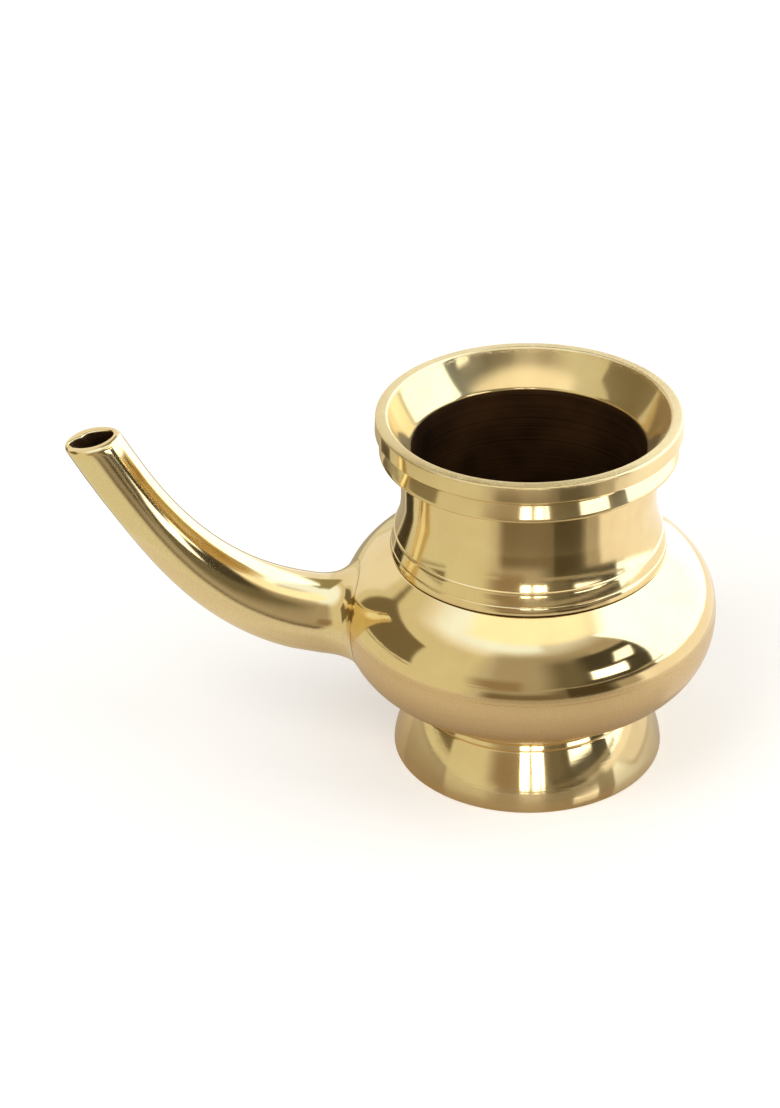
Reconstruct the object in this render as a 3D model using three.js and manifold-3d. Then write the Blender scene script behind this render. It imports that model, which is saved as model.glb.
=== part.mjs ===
// Spouted brass water pot: a turned mouth, a collar, a two-shell belly, a foot ring and
// a curved spout, brazed together. Millimetres, +Z up, standing on z = 0. The spout points
// along -X and the bounding box is centred on the origin in X and Y.

import * as THREE from 'three';
import { mergeVertices } from 'three/addons/utils/BufferGeometryUtils.js';
import Module from 'manifold-3d';

const wasm = await Module();
wasm.setup();

// Foot ring
const footHeight = 28.7;
const footTopRadius = 39.5;
const footWall = 2.2;
const footDrumSwell = 5.7; // how far the drum stands out past the top of the ring
const footDrumHeight = 12;
const footShoulderHeight = 20.8;
const footShoulderPower = 1.6;
const footCoveHeight = 22;
const footBeadHeight = 24;
const footBeadRadius = 0.8;
const footBeadArc = 60; // degrees that the bead turns to each side of its middle
const footFlare = 1.9; // how far the standing edge spreads past the drum
const footFlareHeight = 5;
const footFlareHollow = 0.7; // share of the flare that is gone at half its height
const footRimWidth = 3;
const footBraze = 1.4;

// Belly: the outside is two curves of one width, one up and one down from the widest line
const neckRadius = 43;
const bellySwell = 21.45; // how far the belly stands out past the neck
const bellyCurveWidth = 30.45;
const bellyRise = 24.2;
const bellyDrop = 26.5;
const bellyUpperPower = 2.05;
const bellyLowerPower = 2.3;
const bellyWall = 2;
const seam = 0.35; // thickness of the filler metal in the turned joints

// Collar between the belly and the mouth
const neckWall = 2.8;
const collarHeight = 37.7;
const collarFlare = 4.1;
const collarEdge = 1.4;
const collarLineHeight = 2.9;
const collarLineDepth = 0.25;
const threadHeight = 8.9; // the raised line round the collar
const threadProud = 0.45;
const threadFlare = 2.3; // how far the collar still stands out past the neck at that line
const collarCurveHeight = 13;
const seamRecess = 0.35;

// Mouth
const mouthHeight = 14.2;
const lipOverhang = 8.4;
const lipCrestInset = 1.9;
const lipWidth = 4.4;
const lipOuterDrop = 1.3;
const lipInnerDrop = 2.3;
const lipEdge = 0.6;
const throatLedge = 0.8;
const throatHeight = 2.1;
const grooveHeight = 8.3;
const grooveReach = 4;
const bandTopStep = 0.4;
const bandReach = 7.1;
const bandFaceHeight = 3.2;
const bandRound = 1;
const bandLift = 0.2;
const neckBraze = 0.9;

// Spout
const spoutRootDrop = 3.1; // the middle of the spout's root, under the belly's widest line
const spoutRun = 81.2;
const spoutRise = 71;
const spoutRootAngle = 5;
const spoutRootHandle = 40;
const spoutTipAngle = 62;
const spoutTipHandle = 45.7;
const spoutRootRadius = 13.9;
const spoutTipRadius = 9.2;
const spoutTaperLength = 90;
const spoutWall = 2.2;
const spoutFlare = 7; // how far the foot of the spout spreads over the belly
const spoutFlareLength = 11; // and how far up the tube its fillet starts
const spoutFlareEdge = 0.5;
const spoutFlareRunOut = 3; // from the end of the fillet to the first plain ring of the tube
const spoutSeam = 0.6;
const spoutBrazeThickness = 0.2;
const spoutHoleClearance = 0.2;
const mouthTilt = 11;
const mouthPinch = 1.6; // how much narrower the hole is across than along
const mouthPinchDepth = 12;
const spoutLipRound = 1.3;
const spoutHoleRound = 0.4;

const TURNED_SIDES = 48;
const SPOUT_SIDES = 32;
const EDGE_STEPS = 3;
const FOOT_SHOULDER_STEPS = 4;
const BOWL_STEPS = 9;
const SHOULDER_STEPS = 12;
const TAPER_STEPS = 5;
const FILLET_STEPS = 4;
const SPOUT_STEPS = 11;
const ROUND = 2; // the power that makes a superellipse an ellipse
const HALVINGS = 40;
const WELD = 1e-4;

const brass = { color: 0xcaa657, roughness: 0.16, metalness: 1 };
const filler = { color: 0xa8853f, roughness: 0.4, metalness: 1 };

// Sizes that follow from the ones above

const neckBore = neckRadius - neckWall;
const collarRadius = neckRadius + collarFlare;
const bellyRadius = neckRadius + bellySwell;
const curveCentre = bellyRadius - bellyCurveWidth;
const lowerEquator = footHeight + bellyDrop;
const upperEquator = lowerEquator + seam;

/** Points [radius, height] of a quarter superellipse that starts at its outermost point. */
function quarter(radius, height, width, rise, power, steps) {
  return Array.from({ length: steps + 1 }, (_, i) => {
    const angle = (i / steps) * (Math.PI / 2);
    return [
      radius + width * Math.cos(angle) ** (2 / power),
      height + rise * Math.sin(angle) ** (2 / power),
    ];
  });
}

/** Height of the belly's shoulder, outside at inset 0 or inside at the wall's thickness. */
function shoulderHeightAt(radius, inset = 0) {
  const across = Math.max(0, (radius - curveCentre) / (bellyCurveWidth - inset));
  return upperEquator + (bellyRise - inset) * (1 - across ** bellyUpperPower) ** (1 / bellyUpperPower);
}

/** Where a point lies across and above the belly's curves, with their sizes at that point. */
function bellyFrame(point, clearance) {
  const isUpper = point.z > upperEquator;
  return {
    radius: Math.hypot(point.x, point.y),
    across: Math.max(0, Math.hypot(point.x, point.y) - curveCentre),
    above: isUpper ? point.z - upperEquator : Math.min(0, point.z - lowerEquator),
    equator: isUpper ? upperEquator : lowerEquator,
    width: bellyCurveWidth + clearance,
    height: (isUpper ? bellyRise : bellyDrop) + clearance,
    power: isUpper ? bellyUpperPower : bellyLowerPower,
  };
}

/** Below 1 inside the belly's outside surface, grown by a clearance, and above 1 outside it. */
function bellyLevel(point, clearance) {
  const { across, above, width, height, power } = bellyFrame(point, clearance);
  return (across / width) ** power + (Math.abs(above) / height) ** power;
}

/** Moves a point straight out from the curves' centre onto the belly, grown by a clearance. */
function ontoBelly(point, clearance) {
  const { radius, across, above, equator, power } = bellyFrame(point, clearance);
  const stretch = bellyLevel(point, clearance) ** (-1 / power);
  const spread = (curveCentre + across * stretch) / radius;
  return new THREE.Vector3(point.x * spread, point.y * spread, equator + above * stretch);
}

function bellyNormal(point) {
  const { radius, across, above, width, height, power } = bellyFrame(point, 0);
  const outward = (across / width) ** (power - 1) / width;
  const upward = Math.sign(above) * (Math.abs(above) / height) ** (power - 1) / height;
  return new THREE.Vector3(
    outward * (point.x / radius), outward * (point.y / radius), upward,
  ).normalize();
}

/** A closed solid turned from a counter-clockwise outline of [radius, height] points. */
function turned(outline, onAxis = false) {
  const points = outline.map(([radius, height]) => new THREE.Vector2(radius, height));
  if (!onAxis) {
    points.push(points[0].clone());
  }
  return new THREE.LatheGeometry(points, TURNED_SIDES).rotateX(Math.PI / 2);
}

function toSolid(geometry) {
  const bare = geometry.clone();
  bare.deleteAttribute('normal');
  bare.deleteAttribute('uv');
  const merged = mergeVertices(bare, WELD);
  return new wasm.Manifold(new wasm.Mesh({
    numProp: 3,
    vertProperties: new Float32Array(merged.attributes.position.array),
    triVerts: new Uint32Array(merged.index.array),
  }));
}

function toGeometry(solid) {
  const mesh = solid.getMesh();
  const geometry = new THREE.BufferGeometry();
  geometry.setAttribute('position', new THREE.BufferAttribute(mesh.vertProperties, 3));
  geometry.setIndex(new THREE.BufferAttribute(mesh.triVerts, 1));
  return geometry;
}

/** A closed solid from rows of points round the spout; it ends in fans or joins up end to end. */
function rowSolid(rows, joinsUp) {
  const sides = rows[0].length;
  const corners = rows.flat();
  const faces = [];
  const spans = joinsUp ? rows.length : rows.length - 1;
  for (let row = 0; row < spans; row += 1) {
    const here = row * sides;
    const next = ((row + 1) % rows.length) * sides;
    for (let side = 0; side < sides; side += 1) {
      const after = (side + 1) % sides;
      faces.push(here + side, here + after, next + side);
      faces.push(here + after, next + after, next + side);
    }
  }
  if (!joinsUp) {
    for (const [start, outward] of [[0, false], [(rows.length - 1) * sides, true]]) {
      const middle = new THREE.Vector3();
      corners.slice(start, start + sides).forEach((corner) => middle.addScaledVector(corner, 1 / sides));
      corners.push(middle);
      for (let side = 0; side < sides; side += 1) {
        const after = (side + 1) % sides;
        const pair = outward ? [start + side, start + after] : [start + after, start + side];
        faces.push(...pair, corners.length - 1);
      }
    }
  }
  const geometry = new THREE.BufferGeometry().setFromPoints(corners);
  geometry.setIndex(faces);
  return geometry;
}

// Outlines of the turned pieces

function footRing() {
  const drumRadius = footTopRadius + footDrumSwell;
  const standRadius = drumRadius + footFlare;
  const coveRadius = footTopRadius + footBeadRadius / 2;
  const shoulder = quarter(
    coveRadius, footDrumHeight, drumRadius - coveRadius,
    footShoulderHeight - footDrumHeight, footShoulderPower, FOOT_SHOULDER_STEPS,
  );
  const bead = [-footBeadArc, 0, footBeadArc].map((angle) => [
    coveRadius + footBeadRadius * Math.cos(THREE.MathUtils.degToRad(angle)),
    footBeadHeight + footBeadRadius * Math.sin(THREE.MathUtils.degToRad(angle)),
  ]);
  const boreRadius = footTopRadius - footWall;
  return turned([
    [standRadius, 0],
    [standRadius - footFlare * footFlareHollow, footFlareHeight / 2],
    [drumRadius, footFlareHeight],
    ...shoulder.slice(0, -1),
    [coveRadius, footCoveHeight],
    ...bead,
    [footTopRadius, footBeadHeight + 2 * footBeadRadius],
    [footTopRadius, footHeight],
    [boreRadius, footHeight],
    [boreRadius, footHeight - footBraze],
    [boreRadius, footShoulderHeight],
    [drumRadius - footWall, footDrumHeight],
    [standRadius - footRimWidth, 0],
  ]);
}

function footFillet() {
  const boreRadius = footTopRadius - footWall;
  return turned([
    [boreRadius, footHeight - footBraze],
    [boreRadius, footHeight],
    [boreRadius - footBraze, footHeight],
  ]);
}

function bowlShell() {
  const outside = quarter(
    curveCentre, lowerEquator, bellyCurveWidth, -bellyDrop, bellyLowerPower, BOWL_STEPS,
  );
  const inside = quarter(
    curveCentre, lowerEquator, bellyCurveWidth - bellyWall, bellyWall - bellyDrop, bellyLowerPower,
    BOWL_STEPS - 1,
  );
  return turned([
    [0, footHeight],
    ...outside.reverse(),
    ...inside,
    [0, footHeight + bellyWall],
  ], true);
}

/** Shared points of the belly's shoulder and the collar that stands on it, outermost first. */
function collarSeat(outerRadius, lift) {
  return Array.from({ length: EDGE_STEPS + 1 }, (_, i) => {
    const radius = THREE.MathUtils.lerp(outerRadius, neckBore, i / EDGE_STEPS);
    return [radius, shoulderHeightAt(radius) + lift];
  });
}

function shoulderShell() {
  const outside = quarter(
    curveCentre, upperEquator, bellyCurveWidth, bellyRise, bellyUpperPower, SHOULDER_STEPS,
  );
  const inside = quarter(
    curveCentre, upperEquator, bellyCurveWidth - bellyWall, bellyRise - bellyWall, bellyUpperPower,
    SHOULDER_STEPS - 2,
  );
  return turned([
    ...outside.filter(([radius]) => radius > collarRadius + seamRecess),
    [collarRadius, shoulderHeightAt(collarRadius)],
    ...collarSeat(collarRadius - seamRecess, 0),
    [neckBore, shoulderHeightAt(neckBore, bellyWall)],
    ...inside.filter(([radius]) => radius > neckBore + seamRecess).reverse(),
  ]);
}

function bellyBraze() {
  return turned([
    [bellyRadius - bellyWall, lowerEquator],
    [bellyRadius, lowerEquator],
    [bellyRadius, upperEquator],
    [bellyRadius - bellyWall, upperEquator],
  ]);
}

function collarBraze() {
  const outerRadius = collarRadius - seamRecess;
  return turned([
    ...collarSeat(outerRadius, 0).reverse(),
    ...collarSeat(outerRadius, seam),
  ]);
}

const collarFoot = shoulderHeightAt(collarRadius) + seam;
const neckTop = collarFoot + collarHeight;

function neckCollar() {
  const thread = collarFoot + threadHeight;
  const threadRadius = neckRadius + threadFlare;
  const lineHeight = collarFoot + collarLineHeight;
  const slopeAt = (height) => THREE.MathUtils.mapLinear(
    height, collarFoot + collarEdge, thread, collarRadius, threadRadius,
  );
  const taper = new THREE.QuadraticBezierCurve(
    new THREE.Vector2(threadRadius, thread + threadProud),
    new THREE.Vector2(neckRadius, thread + collarCurveHeight / 2),
    new THREE.Vector2(neckRadius, thread + collarCurveHeight),
  );
  return turned([
    [collarRadius, collarFoot],
    [collarRadius, collarFoot + collarEdge],
    [slopeAt(lineHeight - collarLineDepth), lineHeight - collarLineDepth],
    [slopeAt(lineHeight) - collarLineDepth, lineHeight],
    [slopeAt(lineHeight + collarLineDepth), lineHeight + collarLineDepth],
    [threadRadius, thread - threadProud],
    [threadRadius + threadProud, thread],
    ...taper.getPoints(TAPER_STEPS).map((point) => [point.x, point.y]),
    [neckRadius, neckTop - neckBraze],
    [neckRadius, neckTop],
    [neckBore, neckTop],
    ...collarSeat(collarRadius - seamRecess, seam).reverse(),
  ]);
}

function neckFillet() {
  return turned([
    [neckRadius, neckTop - neckBraze],
    [neckRadius + neckBraze, neckTop],
    [neckRadius, neckTop],
  ]);
}

function mouthFlare() {
  const lipRadius = neckRadius + lipOverhang;
  const crestRadius = lipRadius - lipCrestInset;
  const crest = neckTop + mouthHeight;
  const throatRadius = neckBore - throatLedge;
  const bandRadius = neckRadius + bandReach;
  const grooveRadius = neckRadius + grooveReach;
  const bandEdge = quarter(
    bandRadius - bandRound, neckTop + bandLift + bandRound, bandRound, -bandRound, ROUND, EDGE_STEPS,
  ).reverse();
  const lipOuter = quarter(
    crestRadius, crest - lipOuterDrop, lipCrestInset, lipOuterDrop, ROUND, EDGE_STEPS,
  );
  const lipInner = quarter(
    crestRadius, crest - lipInnerDrop, lipCrestInset - lipWidth, lipInnerDrop, ROUND, EDGE_STEPS,
  ).reverse();
  return turned([
    [throatRadius, neckTop],
    [neckRadius, neckTop],
    [neckRadius + neckBraze, neckTop],
    ...bandEdge,
    [bandRadius, neckTop + bandFaceHeight],
    [grooveRadius + bandTopStep, neckTop + grooveHeight - bandTopStep],
    [grooveRadius, neckTop + grooveHeight],
    [lipRadius, crest - lipOuterDrop - lipEdge],
    ...lipOuter,
    ...lipInner.slice(1),
    [throatRadius, neckTop + throatHeight],
  ]);
}

// Spout: rings of points along a curve in the XZ plane, trimmed to the belly and to the mouth

const toRadians = THREE.MathUtils.degToRad;
const spoutRoot = new THREE.Vector3(-bellyRadius, 0, lowerEquator - spoutRootDrop);
const spoutMouth = new THREE.Vector3(-spoutRun, 0, spoutRise).add(spoutRoot);

function alongSpout(angle) {
  return new THREE.Vector3(-Math.cos(toRadians(angle)), 0, Math.sin(toRadians(angle)));
}

const spoutPath = new THREE.CubicBezierCurve3(
  spoutRoot,
  spoutRoot.clone().addScaledVector(alongSpout(spoutRootAngle), spoutRootHandle),
  spoutMouth.clone().addScaledVector(alongSpout(spoutTipAngle), -spoutTipHandle),
  spoutMouth,
);
const spoutLength = spoutPath.getLength();
const mouthNormal = alongSpout(90 - mouthTilt);

/** A point of the spout's section at a distance along the path, which runs straight past its ends. */
function spoutPoint(distance, turn, along, across = along) {
  const onPath = THREE.MathUtils.clamp(distance / spoutLength, 0, 1);
  const heading = spoutPath.getTangentAt(onPath);
  const side = new THREE.Vector3(0, 1, 0);
  const upper = new THREE.Vector3().crossVectors(side, heading);
  return spoutPath.getPointAt(onPath)
    .addScaledVector(heading, distance - onPath * spoutLength)
    .addScaledVector(upper, along * Math.cos(turn))
    .addScaledVector(side, across * Math.sin(turn));
}

/** Distance along the path where a condition that holds below it stops holding. */
function halve(low, high, holds) {
  let [from, to] = [low, high];
  for (let step = 0; step < HALVINGS; step += 1) {
    const middle = (from + to) / 2;
    if (holds(middle)) {
      from = middle;
    } else {
      to = middle;
    }
  }
  return from;
}

function ring(pointAt) {
  return Array.from({ length: SPOUT_SIDES }, (_, i) => pointAt((i / SPOUT_SIDES) * 2 * Math.PI));
}

/** Where a line of the spout at a given radius leaves the belly, grown by a clearance. */
function leavingBelly(turn, radius, clearance) {
  return halve(-bellyCurveWidth, bellyCurveWidth, (s) => (
    bellyLevel(spoutPoint(s, turn, radius), clearance) < 1
  ));
}

function ringOnBelly(radius, clearance) {
  return ring((turn) => spoutPoint(leavingBelly(turn, radius, clearance), turn, radius));
}

/** A point of the spread foot: spread along the belly from the line where the tube meets it. */
function spreadPoint(turn, spread, clearance) {
  const start = spoutPoint(leavingBelly(turn, spoutRootRadius, clearance), turn, spoutRootRadius);
  const away = start.clone().sub(spoutPoint(0, turn, 0));
  const normal = bellyNormal(start);
  away.addScaledVector(alongSpout(spoutRootAngle), -away.dot(alongSpout(spoutRootAngle)));
  away.addScaledVector(normal, -away.dot(normal)).setLength(spread);
  return ontoBelly(away.add(start), clearance);
}

/** A ring of the fillet between the belly, at blend 0, and the tube, at blend 1. */
function filletRing(blend) {
  const clearance = spoutSeam + spoutFlareEdge;
  return ring((turn) => {
    const start = leavingBelly(turn, spoutRootRadius, clearance);
    return new THREE.QuadraticBezierCurve3(
      spreadPoint(turn, spoutFlare, clearance),
      spoutPoint(start, turn, spoutRootRadius),
      spoutPoint(start + spoutFlareLength, turn, spoutRadiusAt(spoutFlareLength)),
    ).getPoint(blend);
  });
}

/** A ring that lies a depth under the plane of the spout's mouth. */
function ringAtMouth(along, across, depth) {
  const reach = 2 * spoutRootRadius;
  return ring((turn) => {
    const end = halve(spoutLength - reach, spoutLength + reach, (s) => {
      const offset = spoutPoint(s, turn, along, across).sub(spoutMouth);
      return offset.dot(mouthNormal) < 0;
    });
    return spoutPoint(end - depth, turn, along, across);
  });
}

function ringAlong(distance, along, across = along) {
  return ring((turn) => spoutPoint(distance, turn, along, across));
}

function spoutRadiusAt(distance) {
  const tapered = THREE.MathUtils.smoothstep(distance, 0, spoutTaperLength);
  return THREE.MathUtils.lerp(spoutRootRadius, spoutTipRadius, tapered);
}

const spoutBore = spoutRootRadius - spoutWall;

/** Rings of the spout's seat on the belly, from its bore out to its edge. */
function seatRings(spread, clearance) {
  return [
    ringOnBelly(spoutBore, clearance),
    ringOnBelly(spoutRootRadius, clearance),
    ring((turn) => spreadPoint(turn, spread / 2, clearance)),
    ring((turn) => spreadPoint(turn, spread, clearance)),
  ];
}

function spoutTube() {
  const rows = seatRings(spoutFlare, spoutSeam);
  for (let step = 0; step <= FILLET_STEPS; step += 1) {
    rows.push(filletRing(step / FILLET_STEPS));
  }
  const bodyStart = spoutSeam + spoutFlareLength + spoutFlareRunOut;
  const bodyEnd = spoutLength - spoutTipRadius;
  const stations = Array.from({ length: SPOUT_STEPS + 1 }, (_, i) => (
    THREE.MathUtils.lerp(bodyStart, bodyEnd, i / SPOUT_STEPS)
  ));
  stations.forEach((s) => rows.push(ringAlong(s, spoutRadiusAt(s))));
  const tipBore = spoutTipRadius - spoutWall;
  const soften = spoutLipRound * (1 - Math.SQRT1_2);
  rows.push(ringAtMouth(spoutTipRadius, spoutTipRadius, spoutLipRound));
  rows.push(ringAtMouth(spoutTipRadius - soften, spoutTipRadius - soften, soften));
  rows.push(ringAtMouth(spoutTipRadius - spoutLipRound, spoutTipRadius - spoutLipRound, 0));
  rows.push(ringAtMouth(tipBore + spoutHoleRound, tipBore + spoutHoleRound - mouthPinch, 0));
  rows.push(ringAtMouth(tipBore, tipBore - mouthPinch, spoutHoleRound));
  stations.reverse().forEach((s) => {
    const bore = spoutRadiusAt(s) - spoutWall;
    const toMouth = THREE.MathUtils.smoothstep(s, spoutLength - mouthPinchDepth, spoutLength);
    rows.push(ringAlong(s, bore, bore - mouthPinch * toMouth));
  });
  return rowSolid(rows, true);
}

function spoutBraze() {
  const low = (spoutSeam - spoutBrazeThickness) / 2;
  const spread = spoutFlare - seamRecess;
  return rowSolid([
    ...seatRings(spread, low),
    ...seatRings(spread, low + spoutBrazeThickness).reverse(),
  ], true);
}

/** The passage that is bored through the belly's wall into the spout. */
function spoutPassage() {
  const radius = spoutBore - spoutHoleClearance;
  return rowSolid([ringAlong(-bellyCurveWidth / 2, radius), ringAlong(bellyWall, radius)], false);
}

// Assembly

const pot = new THREE.Group();
const passage = toSolid(spoutPassage());

function bored(geometry) {
  return toGeometry(toSolid(geometry).subtract(passage));
}

function place(name, geometry, finish) {
  const mesh = new THREE.Mesh(geometry, new THREE.MeshStandardMaterial(finish));
  mesh.name = name;
  pot.add(mesh);
}

place('foot_ring', footRing(), brass);
place('foot_braze', footFillet(), filler);
place('bowl_shell', bored(bowlShell()), brass);
place('belly_braze', bored(bellyBraze()), filler);
place('shoulder_shell', bored(shoulderShell()), brass);
place('collar_braze', collarBraze(), filler);
place('neck_collar', neckCollar(), brass);
place('mouth_braze', neckFillet(), filler);
place('mouth_flare', mouthFlare(), brass);
place('spout_braze', spoutBraze(), filler);
place('spout', spoutTube(), brass);

const extent = new THREE.Box3().setFromObject(pot);
pot.position.x = -(extent.min.x + extent.max.x) / 2;

export default pot;
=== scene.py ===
"""A spouted brass water pot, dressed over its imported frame.

The pot is turned and cast brass: a ring foot, a belly in two shells, a collar, a flared
mouth and a curved spout. Sizes are in millimetres from the pot's own turning axis, and the
pieces are put in place, in metres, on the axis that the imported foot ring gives.
"""

import logging
import math
from bisect import bisect_left
from collections.abc import Callable, Sequence
from dataclasses import dataclass
from enum import Enum

import bmesh
import bpy
from mathutils import Matrix, Vector


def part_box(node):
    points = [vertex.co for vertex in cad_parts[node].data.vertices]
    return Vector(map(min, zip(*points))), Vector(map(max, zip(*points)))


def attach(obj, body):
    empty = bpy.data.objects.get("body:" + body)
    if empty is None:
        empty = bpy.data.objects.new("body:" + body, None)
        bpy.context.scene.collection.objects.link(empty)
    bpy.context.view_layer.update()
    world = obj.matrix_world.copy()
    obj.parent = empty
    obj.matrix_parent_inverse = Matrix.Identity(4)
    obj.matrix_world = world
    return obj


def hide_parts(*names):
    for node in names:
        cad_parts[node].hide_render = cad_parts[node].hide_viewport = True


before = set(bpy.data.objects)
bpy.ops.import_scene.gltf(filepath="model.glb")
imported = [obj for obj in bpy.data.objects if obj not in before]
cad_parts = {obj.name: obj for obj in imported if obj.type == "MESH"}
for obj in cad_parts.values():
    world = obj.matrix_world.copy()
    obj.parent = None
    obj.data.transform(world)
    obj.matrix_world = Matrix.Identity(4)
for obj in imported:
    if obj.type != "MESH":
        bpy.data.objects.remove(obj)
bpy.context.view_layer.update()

LOG = logging.getLogger("water_pot")

MM = 0.001
CREASE = math.radians(34)

Point = tuple[float, float]
Corner = tuple[float, float, float]
Face = tuple[int, ...]
Shown = bpy.types.Object
Material = bpy.types.Material
Socket = bpy.types.NodeSocket


# Shared small tools


def linear(colour: str) -> tuple[float, float, float, float]:
    """Turns an sRGB hex colour into linear light.

    Args:
        colour: Six hex digits, such as "e0c080".

    Returns:
        Red, green, blue and an alpha of 1, as Blender's sockets take them.
    """
    parts = [int(colour[i:i + 2], 16) / 255 for i in (0, 2, 4)]
    return (*(c / 12.92 if c <= 0.04045 else ((c + 0.055) / 1.055) ** 2.4 for c in parts), 1.0)


class Nodes:
    """The node tree of a material or of the world, with short ways to add common nodes."""

    def __init__(self, owner: Material | bpy.types.World) -> None:
        """Empties the owner's tree."""
        owner.use_nodes = True
        self.tree = owner.node_tree
        self.tree.nodes.clear()
        self.end = "OutputWorld" if isinstance(owner, bpy.types.World) else "OutputMaterial"

    def add(self, kind: str, settings: dict[str | int, object] | None = None, out: str | int = 0) -> Socket:
        """Adds one node.

        Args:
            kind: Blender's name for the kind of node, without "ShaderNode".
            settings: Values, or sockets to link, by the name or number of an input, and values
                by the name of a property. The key "stops" gives a colour ramp its (place, hex
                colour) pairs.
            out: The output that is wanted.

        Returns:
            That output.
        """
        node = self.tree.nodes.new("ShaderNode" + kind)
        for key, value in (settings or {}).items():
            if key == "stops":
                ramp = node.color_ramp
                while len(ramp.elements) < len(value):
                    ramp.elements.new(1.0)
                for element, (place, colour) in zip(ramp.elements, value):
                    element.position = place
                    element.color = linear(colour)
            elif isinstance(value, Socket):
                self.tree.links.new(value, node.inputs[key])
            elif isinstance(key, int) or key in node.inputs:
                node.inputs[key].default_value = value
            else:
                setattr(node, key, value)
        return node.outputs[out]

    def close(self, surface: Socket) -> None:
        """Ends the tree with its surface."""
        end = self.tree.nodes.new("ShaderNode" + self.end)
        self.tree.links.new(surface, end.inputs["Surface"])

    def place(self) -> Socket:
        """Returns where a point lies, in its object's own metres."""
        return self.add("TexCoord", out="Object")

    def part(self, vector: Socket, axis: str) -> Socket:
        """Returns a vector's part along an axis."""
        return self.add("SeparateXYZ", {0: vector}, axis)

    def length(self, vector: Socket) -> Socket:
        """Returns a vector's length."""
        return self.add("VectorMath", {"operation": "LENGTH", 0: vector}, "Value")

    def math(self, operation: str, *values: float | Socket) -> Socket:
        """Returns the result of one step of arithmetic."""
        return self.add("Math", {"operation": operation, **dict(enumerate(values))})

    def span(
        self, value: Socket, source: Point = (0.0, 1.0), target: Point = (0.0, 1.0), smooth: bool = False,
    ) -> Socket:
        """Moves a value from one span to another and holds it at the ends.

        Args:
            value: The value.
            source: The two ends of its own span.
            target: What they become.
            smooth: Whether it goes from end to end in an even S curve.

        Returns:
            The moved value.
        """
        names = ("From Min", "From Max", "To Min", "To Max")
        return self.add("MapRange", {
            "interpolation_type": "SMOOTHSTEP" if smooth else "LINEAR", "Value": value,
            **dict(zip(names, (*source, *target))),
        })

    def noise(self, place: Socket, size: float, detail: float, roughness: float = 0.5) -> Socket:
        """Returns a noise whose features have a size in millimetres."""
        return self.add("TexNoise", {
            "Scale": 1 / (size * MM), "Detail": detail, "Roughness": roughness, "Vector": place,
        })

    def ring_noise(self, along: Socket, size: float, detail: float, roughness: float = 0.5) -> Socket:
        """Returns a noise along one line, with features of a size in millimetres."""
        return self.add("TexNoise", {
            "noise_dimensions": "1D", "Scale": 1 / (size * MM), "Detail": detail, "Roughness": roughness,
            "W": along,
        })

    def ramp(self, share: Socket, *stops: tuple[float, str]) -> Socket:
        """Returns a colour that goes with a share through (place, hex colour) stops."""
        return self.add("ValToRGB", {"stops": stops, "Fac": share})

    def bump(self, height: Socket) -> Socket:
        """Returns the direction of a surface with a height in metres on it."""
        return self.add("Bump", {"Strength": 1.0, "Distance": 1.0, "Height": height})

    def mix(self, share: float | Socket, first: Socket, second: Socket) -> Socket:
        """Returns a first shader that gives way to a second by a share."""
        return self.add("MixShader", {0: share, 1: first, 2: second})

    def seen_rays(self) -> Socket:
        """Returns 1 where the camera, a mirroring metal or glass looks, and 0 for light."""
        seen = self.add("LightPath", out="Is Camera Ray")
        for kind in ("Is Glossy Ray", "Is Transmission Ray"):
            seen = self.math("MAXIMUM", seen, self.add("LightPath", out=kind))
        return seen


def lerp(low: float, high: float, share: float) -> float:
    """Returns the value at a share of the way from low to high."""
    return low + (high - low) * share


def smoothstep(value: float, low: float, high: float) -> float:
    """Returns 0 below low, 1 above high and an even S curve between them."""
    share = min(1.0, max(0.0, (value - low) / (high - low)))
    return share * share * (3 - 2 * share)


# Outlines and meshes


def quarter(start: Point, reach: Point, power: float, steps: int) -> list[Point]:
    """Points of a quarter superellipse, from its outermost point round to its top or bottom.

    Args:
        start: Radius and height of the curve's centre.
        reach: How far it goes across and up from the centre, down where it is negative.
        power: 2 gives an ellipse, and more gives a fuller curve.
        steps: How many spans it has.

    Returns:
        Radius and height of each point.
    """
    points = []
    for i in range(steps + 1):
        angle = i / steps * math.pi / 2
        points.append((
            start[0] + reach[0] * max(0.0, math.cos(angle)) ** (2 / power),
            start[1] + reach[1] * math.sin(angle) ** (2 / power),
        ))
    return points


def curve(start: Point, bend: Point, end: Point, steps: int) -> list[Point]:
    """Points of a smooth bend that leaves start and reaches end in the direction of bend."""
    return [
        tuple((1 - t) ** 2 * a + 2 * t * (1 - t) * b + t * t * c for a, b, c in zip(start, bend, end))
        for t in (i / steps for i in range(steps + 1))
    ]


def eased(corners: Sequence[Corner], steps: int = 5) -> list[Point]:
    """Rounds the corners of a closed outline.

    Args:
        corners: Radius and height of each corner, and how far from it its rounding starts.
        steps: How many spans a rounding has.

    Returns:
        Radius and height of each point of the eased outline.
    """
    points: list[Point] = []
    count = len(corners)
    for i, (radius, height, ease) in enumerate(corners):
        here = Vector((radius, height))
        if ease <= 0:
            points.append((radius, height))
            continue
        legs = []
        for other in (corners[i - 1], corners[(i + 1) % count]):
            leg = Vector(other[:2]) - here
            legs.append(here + leg * min(0.5, ease / leg.length))
        points += curve(tuple(legs[0]), tuple(here), tuple(legs[1]), steps)
    return points


def fillet_outline(corner: Point, reach: float, hollow: float) -> list[Point]:
    """Gives the outline of a fillet that fills a corner from below.

    Args:
        corner: The corner's radius and height.
        reach: How far the fillet runs outwards from it, or inwards where that is negative.
        hollow: How near to the corner its face is pulled, outwards or inwards like reach.

    Returns:
        Radius and height of each point of the closed outline.
    """
    radius, height = corner
    low, bend = (radius, height - abs(reach)), (radius + hollow, height - abs(hollow))
    return [*curve(low, bend, (radius + reach, height), 5), corner]


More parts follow.
